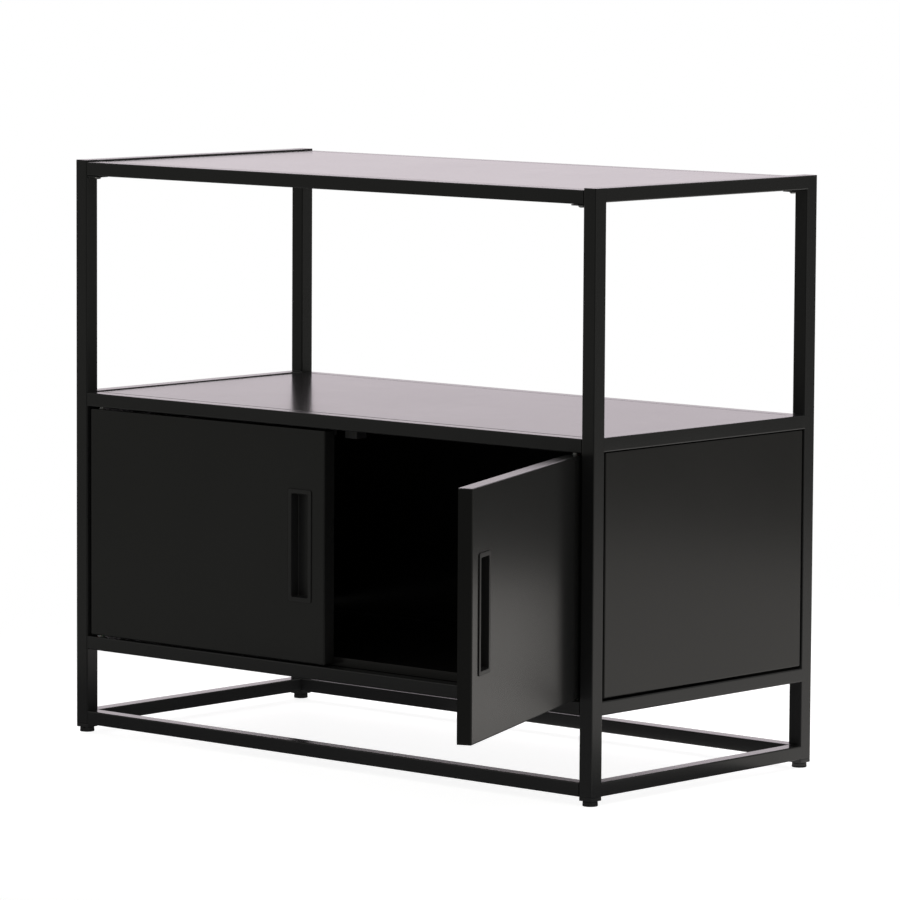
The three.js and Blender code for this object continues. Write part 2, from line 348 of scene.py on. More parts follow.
def noise(start, place, scale, detail=2.0, rough=0.5):
    """Noise with about `scale` lumps to the metre."""
    return start.node(
        "TexNoise", inputs={"Vector": place, "Scale": scale, "Detail": detail, "Roughness": rough},
    )


def mix_colours(start, amount, first, second):
    return start.node("Mix", {"data_type": "RGBA"}, {0: amount, 6: first, 7: second}, output=2)


def tint(colour, factor):
    return (*(channel * factor for channel in colour), 1)


print("shader class ready")

# %% [markdown]
# ## Finishes
#
# Powder coat is plastic powder that is melted onto the steel. It levels into a satin skin with a
# faint orange peel about a millimetre across, and its gloss wanders a little from place to place
# and where hands have been. The same formula serves the tube, the sheet and the doors, with the
# colour, roughness and gloss of each, and the pressed pulls are the roughest. The shelf's gloss is
# turned well down as painted shade, for the shadow that the top panel casts over it.
# All patterns read Object coordinates, so they stay put on a piece.

# %% Powder coat
def powder_coat(name, colour, roughness, peel_height, gloss=0.4):
    material, start = new_material(name)
    place = start.node("TexCoord", output="Object")
    peel = noise(start, place, 750, detail=1.5)
    cloud = noise(start, place, 4.5, detail=3)
    wiped = noise(start, place, 38, detail=4, rough=0.6)
    specks = noise(start, place, 2600, detail=1)
    colours = mix_colours(start, cloud, tint(colour, 0.8), tint(colour, 1.2))
    rough = roughness + 0.03 * (cloud - 0.5) + 0.02 * (wiped - 0.5) + 0.02 * (specks - 0.5)
    bump = start.node("Bump", inputs={"Strength": 1.0, "Distance": peel_height, "Height": peel})
    shader = start.node("BsdfPrincipled", inputs={
        "Base Color": colours, "Roughness": rough, "Normal": bump, "Specular IOR Level": gloss,
    })
    output_surface(start, shader)
    return material


frame_black = powder_coat("frame_powder_coat", (0.015, 0.015, 0.0153), 0.22, 4e-6)
panel_black = powder_coat("panel_powder_coat", (0.0155, 0.015, 0.0145), 0.18, 2e-6, gloss=0.36)
# The shelf is the panel coat with its gloss turned down: painted shade, for the shadow of the top panel
# over the shelf.
shelf_shaded_coat = powder_coat("shelf_powder_coat_shaded", (0.016, 0.0155, 0.0155), 0.18, 2e-6, gloss=0.14)
door_black = powder_coat("door_powder_coat", (0.0145, 0.0145, 0.0142), 0.21, 2.5e-6, gloss=0.34)
pull_black = powder_coat("pull_powder_coat", (0.016, 0.016, 0.016), 0.33, 4e-6)
print("five powder coats")

# %% [markdown]
# The small fittings have finishes of their own. Zinc plate is a bright metal whose passivation
# leaves a thin warm and cool cloud, and the bare poles of the catches are a dark oiled steel with the
# same cloud. Nylon is milky and slightly translucent. Moulded plastic has the fine grain that the
# mould's sparked steel leaves.

# %% Zinc, oiled steel, nylon and moulded plastic
def plated(name, cool, warm, roughness):
    material, start = new_material(name)
    place = start.node("TexCoord", output="Object")
    cloud = noise(start, place, 160, detail=3)
    grain = noise(start, place, 3000, detail=2)
    colours = mix_colours(start, cloud, cool, warm)
    bump = start.node("Bump", inputs={"Strength": 0.6, "Distance": 6e-6, "Height": grain})
    shader = start.node("BsdfPrincipled", inputs={
        "Base Color": colours, "Metallic": 1.0, "Normal": bump,
        "Roughness": roughness + 0.16 * (cloud - 0.5),
    })
    output_surface(start, shader)
    return material


def moulded(name, colour, roughness, grain_height, milky=0.0):
    material, start = new_material(name)
    place = start.node("TexCoord", output="Object")
    grain = noise(start, place, 1900, detail=2)
    flow = noise(start, place, 120, detail=2)
    colours = mix_colours(start, flow, tint(colour, 0.92), tint(colour, 1.06))
    bump = start.node("Bump", inputs={"Strength": 1.0, "Distance": grain_height, "Height": grain})
    shader = start.node("BsdfPrincipled", inputs={
        "Base Color": colours, "Roughness": roughness + 0.1 * (flow - 0.5), "Normal": bump,
        "Subsurface Weight": milky, "Subsurface Scale": 0.002,
    })
    output_surface(start, shader)
    return material


zinc = plated("bright_zinc", (0.58, 0.60, 0.64, 1), (0.68, 0.66, 0.60, 1), 0.32)
dark_steel = plated("oiled_steel", (0.050, 0.052, 0.058, 1), (0.075, 0.070, 0.062, 1), 0.40)
nylon = moulded("natural_nylon", (0.78, 0.77, 0.73), 0.42, 6e-6, milky=0.25)
catch_black = moulded("catch_plastic", (0.022, 0.022, 0.023), 0.48, 1.5e-5)
foot_black = moulded("foot_plastic", (0.016, 0.016, 0.0165), 0.42, 2e-5)
print("five fitting finishes")

# %% [markdown]
# ## Posts
#
# Each post is a square tube with rounded long edges. Its top is closed by a cap that is welded on and
# ground flush, and its lower end is open for the foot. A cube stretched to the post's box gives the
# outside, its long edges are beveled, and the lower face is inset by the wall and pushed up inside.

# %% One post, copied to the four corners
def square_post(node):
    low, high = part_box(node)
    post = add_block(node, low, high)
    choose(post, "EDGE", edges_along(Z))
    bpy.ops.mesh.bevel(offset=TUBE_CORNER, segments=4, affect="EDGES")
    choose(post, "FACE", faces_towards(-Z))
    bpy.ops.mesh.inset(thickness=TUBE_WALL)
    inside = (0, 0, high.z - low.z - TUBE_WALL)
    bpy.ops.mesh.extrude_region_move(TRANSFORM_OT_translate={"value": inside})
    choose(post, "EDGE", edges_at(Z, high.z))
    bpy.ops.mesh.bevel(offset=0.0006, segments=2, affect="EDGES")
    close_up(post)
    return post


def places_like(first, names):
    """The name and shift from the first node's box of each named node."""
    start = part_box(first)[0]
    return [(name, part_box(name)[0] - start) for name in names]


corners = [f"{face}_{side}" for face in FACES for side in SIDES]
post = square_post("post_front_left")
for node, shift in places_like("post_front_left", [f"post_{corner}" for corner in corners]):
    dress_node(copy_piece(post, node, shift), node, frame_black)
bpy.data.objects.remove(post)
print("4 posts of", round((post_high.z - post_low.z) * 1000), "mm")

# %% [markdown]
# ## Rails
#
# A rail is the same tube laid flat, open at both ends. Insetting both end faces by the wall and
# bridging them makes the bore in one stroke. The side rails are welded between the posts and ground
# flush, so they lap over the posts' rounded edges by the corner radius and leave no groove. The cross
# rails are bolted up against the posts, and there the rounded edges leave the dark seam that is seen.

# %% Tubes lying along an axis
def lying_tube(name, low, high, along):
    tube = add_block(name, low, high)
    choose(tube, "EDGE", edges_along(along))
    bpy.ops.mesh.bevel(offset=TUBE_CORNER, segments=4, affect="EDGES")
    choose(tube, "FACE", end_faces(along))
    bpy.ops.mesh.inset(thickness=TUBE_WALL, use_individual=True)
    bpy.ops.mesh.bridge_edge_loops()
    close_up(tube)
    return tube


PIN_RADIUS = 0.003
PIN_HOLE_RADIUS = 0.0034


def pin_hole(rail, pivot):
    """Bores the hole for a door pin through the wall of the rail that faces the door."""
    low = min(corner[2] for corner in rail.bound_box)
    high = max(corner[2] for corner in rail.bound_box)
    wall = low if low > pivot.z else high
    cut_out(rail, add_rod("cutter", pivot, PIN_HOLE_RADIUS, wall - 0.004, wall + 0.004))


side_low, side_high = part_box("side_rail_base_left")
lap = TUBE_CORNER * Y
side_rail = lying_tube("side_rail", side_low - lap, side_high + lap, Y)
side_nodes = [f"side_rail_{level}_{side}" for level in LEVELS for side in SIDES]
for node, shift in places_like("side_rail_base_left", side_nodes):
    dress_node(copy_piece(side_rail, node, shift), node, frame_black)

cross_low, cross_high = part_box("front_rail_base")
cross_rail = lying_tube("cross_rail", cross_low, cross_high, X)
cross_nodes = [f"{face}_rail_{level}" for level in LEVELS for face in FACES]
for node, shift in places_like("front_rail_base", cross_nodes):
    rail = copy_piece(cross_rail, node, shift)
    if node in ("front_rail_lower", "front_rail_middle"):
        pin_hole(rail, left_pivot)
        pin_hole(rail, right_pivot)
    dress_node(rail, node, frame_black)
bpy.data.objects.remove(side_rail)
bpy.data.objects.remove(cross_rail)
print("8 side rails and 8 cross rails")

# %% [markdown]
# ## Weld beads
#
# Where a side rail meets a post, the outside is ground flush, but the weld above and below it is left
# as it cooled: a small bead with ripples, under the paint. It is half sunk in the steel. A disc is
# grown into a rod ring by ring, each ring a little wider or narrower than the last. The same helper
# makes every turned part further down, such as the pins and the feet.

# %% Grow a turned solid ring by ring
def grow_rings(piece, steps):
    """Extrudes the selected face up by each rise and scales it by each ratio."""
    for rise, ratio in steps:
        bpy.ops.mesh.extrude_region_move(TRANSFORM_OT_translate={"value": rise * Z})
        shape = bmesh.from_edit_mesh(piece.data)
        points = [vert for vert in shape.verts if vert.select]
        centre = sum((vert.co for vert in points), Vector()) / len(points)
        bpy.ops.transform.resize(value=(ratio, ratio, 1), center_override=centre)


def turned(name, centre, profile, sides=32):
    """A solid turned on an upright axis from (radius, height) pairs, lowest first."""
    bpy.ops.object.select_all(action="DESELECT")
    (radius, height), *rest = profile
    place = (centre.x, centre.y, height)
    bpy.ops.mesh.primitive_circle_add(vertices=sides, radius=radius, fill_type="NGON", location=place)
    settle()
    piece = bpy.context.object
    piece.name = name
    choose(piece, "FACE", lambda face: True)
    steps = []
    for next_radius, next_height in rest:
        steps.append((next_height - height, next_radius / radius))
        radius, height = next_radius, next_height
    grow_rings(piece, steps)
    close_up(piece)
    return piece


print("turning helper ready")

# %% [markdown]
# One bead is grown and tipped over to lie across a rail, and a copy goes into every corner. The top
# rails have none above them, because the frame is ground flush there.

# %% One rippled bead, laid in every corner of the side frames
BEAD_RADIUS = 0.0012
BEAD_RIPPLE = 0.00016
BEAD_STEP = 0.0011

bead_long = (side_high.x - side_low.x) - 2 * TUBE_CORNER
bead_rings = int(bead_long / BEAD_STEP)
bead_profile = [(BEAD_RADIUS / 2, 0)]
for ring in range(1, bead_rings):
    bead_profile.append((BEAD_RADIUS + (BEAD_RIPPLE if ring % 2 else 0), ring * BEAD_STEP))
bead_profile.append((BEAD_RADIUS / 2, bead_rings * BEAD_STEP))
bead = turned("bead", Vector((0, 0, 0)), bead_profile, sides=12)
tip(bead, (0, 0, 0), "Y", 90)

beads = []
for node in side_nodes:
    low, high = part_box(node)
    start_x = (low.x + high.x) / 2 - bead_rings * BEAD_STEP / 2
    at_heights = {"under": low.z, "over": high.z}
    if "_top_" in node:
        del at_heights["over"]
    for level, height in at_heights.items():
        for end, place in (("front", low.y), ("back", high.y)):
            name = f"{node}_weld_{level}_{end}"
            beads.append(copy_piece(bead, name, (start_x, place, height)))
for piece in beads:
    dress(piece, frame_black, "frame", "frame_black")
bpy.data.objects.remove(bead)
print(len(beads), "weld beads")

# %% [markdown]
# ## Folded panels
#
# The top, the shelf, the cabinet floor, the sides and the back are trays folded from sheet: a face with
# four turned-down edges. A block is hollowed from behind by an inset and an extrude, and the bends are
# rounded as a press brake leaves them, while the cut edges of the flanges stay nearly sharp. The back
# is drawn out to fill nearly all of the millimetre left round it, because light that comes in through
# that gap would draw a bright line along the dark inside of the cabinet.

# %% Trays
def hollow(piece, towards, depth):
    """Hollows a block from the face that looks this way, leaving a wall of sheet all round."""
    choose(piece, "FACE", faces_towards(towards))
    bpy.ops.mesh.inset(thickness=SHEET)
    bpy.ops.mesh.extrude_region_move(TRANSFORM_OT_translate={"value": -depth * towards})


def folded_tray(name, low, high, shown):
    """A tray whose face looks the way of `shown` and whose flanges point away from it."""
    tray = add_block(name, low, high)
    face_place = max(shown.dot(low), shown.dot(high))
    depth = abs(shown.dot(high - low))
    hollow(tray, -shown, depth - SHEET)
    corners_out = [(low[axis], high[axis]) for axis in range(3)]

    def is_bend(edge):
        outer = all(
            min(abs(vert.co[axis] - place) for place in corners_out[axis]) < HAIR
            for vert in edge.verts for axis in range(3) if abs(shown[axis]) < 0.5
        )
        return edges_at(shown, face_place)(edge) or (edges_along(shown)(edge) and outer)

    choose(tray, "EDGE", is_bend)
    bpy.ops.mesh.bevel(offset=BEND, segments=4, affect="EDGES")
    close_up(tray)
    return tray


BACK_FILL = 0.0009
SHOWN_WAY = {
    "top_panel": Z, "shelf_panel": Z, "floor_panel": Z,
    "side_panel_left": -X, "side_panel_right": X, "back_panel": Y,
}
for node, shown in SHOWN_WAY.items():
    low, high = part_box(node)
    if node == "back_panel":
        low, high = low - BACK_FILL * (X + Z), high + BACK_FILL * (X + Z)
    finish = shelf_shaded_coat if node == "shelf_panel" else panel_black
    dress_node(folded_tray(node, low, high, shown), node, finish)
print("6 folded panels")

# %% [markdown]
# ## Door stop
#
# The doors close against a strip that stands on the front of the cabinet floor. The upper corners at its
# two ends are well rounded, so that neither catches a sleeve, and its other edges are only broken.

# %% Door stop
low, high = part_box("door_stop")
stop = add_block("door_stop", low, high)
choose(stop, "EDGE", lambda edge: edges_along(Y)(edge) and edges_at(Z, high.z)(edge))
bpy.ops.mesh.bevel(offset=0.005, segments=5, affect="EDGES")
close_up(stop)
soften(stop, width=0.0005)
dress_node(stop, "door_stop", panel_black)
print("door stop of", round((high.x - low.x) * 1000), "mm")

# %% [markdown]
# ## Door skins
#
# A door is a shallow tray too, 18 mm thick, with tight bends all round. It has a window for the flush
# pull and a hole at each pivot for the bush. The window's cutter is a block with rounded corners, and
# the exact boolean leaves a clean edge that the pull's flange then covers.

# %% Skin of the left door, with its window and its bores
skin_low, skin_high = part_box("door_skin_left")
pull_low, pull_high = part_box("door_pull_left")
PULL_RIM = 0.0043
PULL_SHEET = 0.001
PULL_CORNER = 0.003
BUSH_HOLE_RADIUS = 0.0053
BEYOND = 0.01  # how far a cutter sticks out, so that it cuts right through


def door_skin():
    skin = folded_tray("door_skin", skin_low, skin_high, -Y)
    rim = Vector((PULL_RIM, 0, PULL_RIM)) - 0.0003 * (X + Z)
    window = add_block("cutter", pull_low + rim - BEYOND * Y, pull_high - rim + BEYOND * Y)
    choose(window, "EDGE", edges_along(Y))
    bpy.ops.mesh.bevel(offset=PULL_CORNER, segments=4, affect="EDGES")
    select_only(window)
    cut_out(skin, window)
    bore = add_rod("cutter", left_pivot, BUSH_HOLE_RADIUS, skin_low.z - BEYOND, skin_high.z + BEYOND)
    cut_out(skin, bore)
    return skin


left_skin = door_skin()
print("door", [round(v * 1000, 1) for v in skin_high - skin_low], "mm")

# %% [markdown]
# ## Flush pulls
#
# The pull is one pressed cup with a narrow flange that lies on the door. It starts as a flat plate with
# rounded corners, the middle is inset, shrunk to the rim and pushed in, and its bottom is drawn in,
# because a pressed wall always has some draft. Solidify then gives it the thickness of its sheet.

# %% Pull of the left door
WALL_DRAFT = (0.97, 1, 0.99)


def flush_pull():
    bpy.ops.object.select_all(action="DESELECT")
    centre = (pull_low + pull_high) / 2
    centre.y = pull_low.y
    size = pull_high - pull_low
    bpy.ops.mesh.primitive_plane_add(size=1, location=centre, rotation=(math.pi / 2, 0, 0))
    pull = bpy.context.object
    pull.scale = (size.x, size.z, 1)
    settle()
    choose(pull, "FACE", lambda face: True)
    bpy.ops.mesh.bevel(offset=PULL_CORNER, segments=5, affect="VERTICES")
    choose(pull, "FACE", lambda face: True)
    start, rim = 0.001, PULL_RIM + PULL_SHEET
    bpy.ops.mesh.inset(thickness=start)
    to_rim = [(length - 2 * rim) / (length - 2 * start) for length in (size.x, size.z)]
    bpy.ops.transform.resize(value=(to_rim[0], 1, to_rim[1]), center_override=centre)
    bpy.ops.mesh.extrude_region_move(TRANSFORM_OT_translate={"value": (size.y - PULL_SHEET) * Y})
    bpy.ops.transform.resize(value=WALL_DRAFT, center_override=centre)
    bottom = pull_high.y - PULL_SHEET
    choose(pull, "EDGE", edges_at(Y, bottom))
    bpy.ops.mesh.bevel(offset=0.0012, segments=4, affect="EDGES")
    on_rim = edges_at(Y, pull_low.y)
    choose(pull, "EDGE", lambda edge: on_rim(edge) and not any(vert.is_boundary for vert in edge.verts))
    bpy.ops.mesh.bevel(offset=0.0006, segments=3, affect="EDGES")
    select_only(pull)
    apply_modifier(pull, "SOLIDIFY", thickness=PULL_SHEET, offset=-1, use_even_offset=True)
    soften(pull, width=0.00025, angle=60)
    return pull


left_pull = flush_pull()
print("pull", [round(v * 1000, 1) for v in left_pull.dimensions], "mm")

# %% [markdown]
# ## Door liner
#
# The back of a door is closed by a flat liner, held by blind rivets with low domed heads. One rivet is
# turned from a disc and tipped over, and copies of it go round the liner's edge.

# %% Liner and rivets of the left door
liner_low, liner_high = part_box("door_liner_left")
left_liner = add_block("door_liner", liner_low, liner_high)
choose(left_liner, "EDGE", edges_along(Y))
bpy.ops.mesh.bevel(offset=0.002, segments=3, affect="EDGES")
select_only(left_liner)
soften(left_liner, width=0.0004)

RIVET_RADIUS = 0.0032
RIVET_DOME = 0.0009
RIVET_INSET = 0.012


def dome(name, centre, radius, rise, sides=24):
    """A low domed head on an upright axis, with the hole that the rivet's mandrel leaves."""
    profile = [(radius, 0), (radius, rise * 0.3), (radius * 0.85, rise * 0.72), (radius * 0.6, rise * 0.95),
               (radius * 0.36, rise), (radius * 0.3, rise * 0.55)]
    return turned(name, centre, profile, sides)


rivet = dome("rivet", Vector((0, 0, 0)), RIVET_RADIUS, RIVET_DOME)
tip(rivet, (0, 0, 0), "X", -90)
rows = 3
columns = 4
left_rivets = []
for column in range(columns):
    for row in range(rows):
        if 0 < column < columns - 1 and 0 < row < rows - 1:
            continue
        across = (liner_high.x - liner_low.x - 2 * RIVET_INSET) * column / (columns - 1)
        up = (liner_high.z - liner_low.z - 2 * RIVET_INSET) * row / (rows - 1)
        place = (liner_low.x + RIVET_INSET + across, liner_high.y, liner_low.z + RIVET_INSET + up)
        left_rivets.append(copy_piece(rivet, f"liner_rivet_{column}_{row}_left", place))
bpy.data.objects.remove(rivet)
print(len(left_rivets), "rivets on the liner")

# %% [markdown]
# ## Strike and bushes
#
# The strike plate sits near the free edge of the door, where the magnetic catch meets it. It has two
# screw holes, which are bored by cutters turned to lie along the door's depth. A nylon bush with a thin
# rim lines each pivot hole: a rod whose two ends are inset and bridged into a ring.

# %% Strike and bushes of the left door
STRIKE_HOLE_RADIUS = 0.0014
STRIKE_HOLE_STEP = 0.005
BUSH_BORE_RADIUS = 0.0033

strike_low, strike_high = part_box("strike_left")
left_strike = add_block("strike", strike_low, strike_high)
choose(left_strike, "EDGE", edges_along(Y))
bpy.ops.mesh.bevel(offset=0.0015, segments=3, affect="EDGES")
select_only(left_strike)
strike_middle = (strike_low + strike_high) / 2
for step in (-1, 1):
    hole = add_rod("cutter", Vector((0, 0, 0)), STRIKE_HOLE_RADIUS, -0.003, 0.003, sides=20)
    tip(hole, (0, 0, 0), "X", 90)
    hole.location = strike_middle + step * STRIKE_HOLE_STEP * X
    select_only(hole)
    settle()
    cut_out(left_strike, hole)
soften(left_strike, width=0.0002)


def bush(node):
    low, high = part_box(node)
    centre = (low + high) / 2
    outside = (high.x - low.x) / 2
    ring = add_rod(node, centre, outside, low.z, high.z, sides=40)
    choose(ring, "FACE", end_faces(Z))
    bpy.ops.mesh.inset(thickness=outside - BUSH_BORE_RADIUS, use_individual=True)
    bpy.ops.mesh.bridge_edge_loops()
    close_up(ring)
    soften(ring, width=0.0003)
    return ring


left_bushes = {level: bush(f"bush_{level}_left") for level in ("under", "over")}
print("strike of", round((strike_high.x - strike_low.x) * 1000), "mm and 2 bushes")

# %% [markdown]
# ## Both doors
#
# The right door is the left one mirrored and swung open about its own pivot, by the angle that the
# hinge's range gives. So the two doors can't differ, and the open one lands where the frame has it.

# %% Dress the left door, mirror it and open the copy
left_door = [
    (left_skin, "door_skin", door_black), (left_liner, "door_liner", door_black),
    (left_pull, "door_pull", pull_black), (left_strike, "strike", zinc),
    (left_bushes["under"], "bush_under", nylon), (left_bushes["over"], "bush_over", nylon),
]
for piece, kind, material in left_door:
    twin = mirrored_copy(piece, kind + "_right")
    tip(twin, right_pivot, "Z", math.degrees(right_door_open))
    dress_node(twin, kind + "_right", material)
    dress_node(piece, kind + "_left", material)
for piece in left_rivets:
    twin = mirrored_copy(piece, piece.name.replace("left", "right"))
    tip(twin, right_pivot, "Z", math.degrees(right_door_open))
    dress(twin, door_black, "right_door", "door_black")
    dress(piece, door_black, "left_door", "door_black")
print("right door open", round(math.degrees(right_door_open)), "degrees")

# %% [markdown]
# ## Pins and washers
#
# Each door turns on a zinc-plated pin at its top and bottom corner. The collar of a pin sits inside
# the rail, and a thick nylon washer under the door carries its weight. These are turned parts, grown
# ring by ring from a disc, with the small chamfers that a lathe puts on every end.

# %% Pins and washers
def pin(node):
    low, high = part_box(node)
    centre = (low + high) / 2
    over = "over" in node
    radius, collar = PIN_RADIUS, (high.x - low.x) / 2
    rail_low, rail_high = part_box("front_rail_middle" if over else "front_rail_lower")
    wall = rail_low.z + TUBE_WALL - low.z if over else high.z - rail_high.z + TUBE_WALL
    seat, chamfer = wall + 0.0004, 0.0005
    collar_end = seat + 0.003
    long = high.z - low.z
    profile = [
        (radius * 0.7, 0), (radius, 0.0008), (radius, seat), (collar - chamfer, seat),
        (collar, seat + chamfer), (collar, collar_end - chamfer), (collar - chamfer, collar_end),
        (radius, collar_end), (radius, long - chamfer), (radius - chamfer, long),
    ]
    piece = turned(node, Vector((centre.x, centre.y, 0)), profile, sides=32)
    if not over:
        tip(piece, (centre.x, centre.y, 0), "X", 180)
    piece.location.z = low.z if over else high.z
    select_only(piece)
    settle()
    return piece


for side in SIDES:
    for level in ("under", "over"):
        dress_node(pin(f"pin_{level}_{side}"), f"pin_{level}_{side}", zinc)
    dress_node(bush(f"washer_under_{side}"), f"washer_under_{side}", nylon)
print("4 pins and 2 washers")

# %% [markdown]
# ## Magnetic catches
#
# A catch is a moulded box that hangs behind the shelf's front flange by a flat tab. Its front shows the
# two steel pole plates on either side of the magnet, a hair proud of the plastic. Two pan-head screws
# hold the tab.

# %% Catches with pole plates and screws
CATCH_HIGH = 0.014
TAB_THICK = 0.0024
POLE_HALF = 0.001
POLE_STEP = 0.0045
POLE_PROUD = 0.0001
POLE_LONG = 0.012
TAB_SCREW_STEP = 0.006


def catch(node):
    low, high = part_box(node)
    tab_under = low.z + CATCH_HIGH
    piece = add_block(node, low, Vector((high.x, high.y, tab_under)))
    choose(piece, "FACE", lambda face: True)
    bpy.ops.mesh.bisect(plane_co=(0, low.y + TAB_THICK, 0), plane_no=(0, 1, 0))

    def top_strip(face):
        return face.normal.z > SQUARE_ON and face.calc_center_median().y < low.y + TAB_THICK

    choose(piece, "FACE", top_strip)
    bpy.ops.mesh.extrude_region_move(TRANSFORM_OT_translate={"value": (high.z - tab_under) * Z})
    close_up(piece)
    soften(piece, width=0.0006, segments=3)
    return piece


for side in SIDES:
    node = f"catch_{side}"
    low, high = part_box(node)
    dress_node(catch(node), node, catch_black)
    centre = (low + high) / 2
    for number, step in enumerate((-1, 1)):
        plate = add_block(
            f"{node}_pole_{number}",
            (centre.x + step * POLE_STEP - POLE_HALF, low.y - POLE_PROUD, low.z + 0.002),
            (centre.x + step * POLE_STEP + POLE_HALF, low.y + POLE_LONG, low.z + CATCH_HIGH - 0.002),
        )
        soften(plate, width=0.0003)
        dress(plate, dark_steel, "frame", "zinc")
        screw = dome(f"{node}_screw_{number}", Vector((0, 0, 0)), 0.0026, 0.0014)
        tip(screw, (0, 0, 0), "X", -90)
        screw.location = (centre.x + step * TAB_SCREW_STEP, low.y + TAB_THICK, high.z - 0.006)
        select_only(screw)
        settle()
        dress(screw, zinc, "frame", "zinc")
print("2 catches with 4 pole plates and 4 screws")

# %% [markdown]
# ## Joint plates and their screws
#
# A square plate under each end of the top rails takes the screw that draws rail and side frame
# together. The button-head screw has a hexagon socket, which a six-sided cutter leaves.

# %% Joint plates
SCREW_HEAD = 0.0048
SCREW_RISE = 0.0026
SCREW_RADIUS = 0.0025
PLATE_CORNER = 0.0025
PLATE_HOLE_RADIUS = 0.0026


def button_screw(name, centre, under):
    """A button-head screw that points up, with its head hanging below `under`."""
    profile = [
        (SCREW_HEAD * 0.55, 0), (SCREW_HEAD * 0.8, SCREW_RISE * 0.22),
        (SCREW_HEAD * 0.96, SCREW_RISE * 0.62), (SCREW_HEAD, SCREW_RISE),
        (SCREW_RADIUS, SCREW_RISE), (SCREW_RADIUS, SCREW_RISE + 0.008),
    ]
    screw = turned(name, centre, profile, sides=36)
    cut_out(screw, add_rod("cutter", centre, 0.0017, -0.002, SCREW_RISE * 0.7, sides=6))
    soften(screw, width=0.00015, angle=50)
    screw.location.z = under - SCREW_RISE
    select_only(screw)
    settle()
    return screw


for corner in corners:
    node = f"joint_plate_{corner}"
    low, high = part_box(node)
    centre = (low + high) / 2
    plate = add_block(node, low, high)
    choose(plate, "EDGE", edges_along(Z))
    bpy.ops.mesh.bevel(offset=PLATE_CORNER, segments=4, affect="EDGES")
    select_only(plate)
    cut_out(plate, add_rod("cutter", centre, PLATE_HOLE_RADIUS, low.z - 0.005, high.z + 0.005))
    soften(plate, width=0.0003)
    dress_node(plate, node, frame_black)
    screw = button_screw(f"{node}_screw", Vector((centre.x, centre.y, 0)), low.z)
    dress(screw, zinc, "frame", "zinc")
print("4 joint plates and 4 screws")

# %% [markdown]
# ## Levelling feet and their plugs
#
# A moulded plug closes the lower end of each post with a flange as wide as the tube, and holds the
# thread of the foot. The foot is a short round pad with a ring of grip flutes and a threaded stem. The
# flutes are made by pushing every third side face in, and the thread by rings half a pitch apart.

# %% Feet and plugs
PITCH = 0.00125
STEM_RADIUS = 0.004
THREAD_DEEP = 0.0004
FLUTE_DEEP = 0.0003
PAD_SIDES = 48


def foot(node):
    low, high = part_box(node)
    centre = (low + high) / 2
    pad, stem = (high.x - low.x) / 2, STEM_RADIUS
    pad_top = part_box(node.replace("foot", "plug"))[0].z - low.z - 0.0003
    profile = [
        (pad - 0.0016, 0), (pad - 0.0005, 0.0002), (pad, 0.0009), (pad - 0.0003, pad_top - 0.0008),
        (pad - 0.0011, pad_top), (stem - THREAD_DEEP, pad_top),
    ]
    height = pad_top
    while height + PITCH < high.z - low.z - 0.001:
        profile.append((stem, height + PITCH / 2))
        profile.append((stem - THREAD_DEEP, height + PITCH))
        height += PITCH
    profile.append((stem - 0.001, high.z - low.z))
    piece = turned(node, Vector((centre.x, centre.y, low.z)), profile, sides=PAD_SIDES)

    def flute(face):
        place = face.calc_center_median()
        turn = math.atan2(place.y - centre.y, place.x - centre.x)
        on_side = abs(face.normal.z) < 0.2 and 0.0012 < place.z - low.z < pad_top - 0.001
        return on_side and int(turn / math.tau * PAD_SIDES + PAD_SIDES) % 3 == 0

    choose(piece, "FACE", flute)
    bpy.ops.mesh.inset(thickness=0.00015, use_individual=True)
    bpy.ops.transform.shrink_fatten(value=-FLUTE_DEEP)
    select_only(piece)
    return piece


def plug(node):
    low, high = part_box(node)
    centre = (low + high) / 2
    flange_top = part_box(node.replace("plug", "post"))[0].z - 0.0003
    piece = add_block(node, low, Vector((high.x, high.y, flange_top)))
    choose(piece, "FACE", faces_towards(Z))
    bpy.ops.mesh.inset(thickness=TUBE_WALL + 0.0003)
    bpy.ops.mesh.extrude_region_move(TRANSFORM_OT_translate={"value": (high.z - flange_top) * Z})

    def flange_corner(edge):
        return edges_along(Z)(edge) and min(vert.co.z for vert in edge.verts) < flange_top - 0.001

    choose(piece, "EDGE", flange_corner)
    bpy.ops.mesh.bevel(offset=TUBE_CORNER, segments=4, affect="EDGES")
    choose(piece, "EDGE", edges_at(Z, low.z))
    bpy.ops.mesh.bevel(offset=0.0005, segments=2, affect="EDGES")
    close_up(piece)
    bore = STEM_RADIUS + 0.0003
    cut_out(piece, add_rod("cutter", centre, bore, low.z - BEYOND, high.z + BEYOND, sides=40))
    soften(piece, width=0.0002)
    return piece


for corner in corners:
    dress_node(foot(f"foot_{corner}"), f"foot_{corner}", foot_black)
    dress_node(plug(f"plug_{corner}"), f"plug_{corner}", foot_black)
print("4 feet and 4 plugs")

# %% [markdown]
# ## Floor
#
# The sideboard stands on a pale round floor whose edge fades out into the white behind it. Glossy black
# furniture is a mirror of its studio, and a white floor would wash out its fronts, so the floor is left
# out of reflections. A dark disc just under it, which only reflections see, stands in its place below
# the fronts as a painted shadow: the floor as it looks in the sideboard's own shade.

# %% A pale floor and a painted floor shadow
FLOOR_RADIUS = 1.5
SHADOW_DISC_RADIUS = 0.75


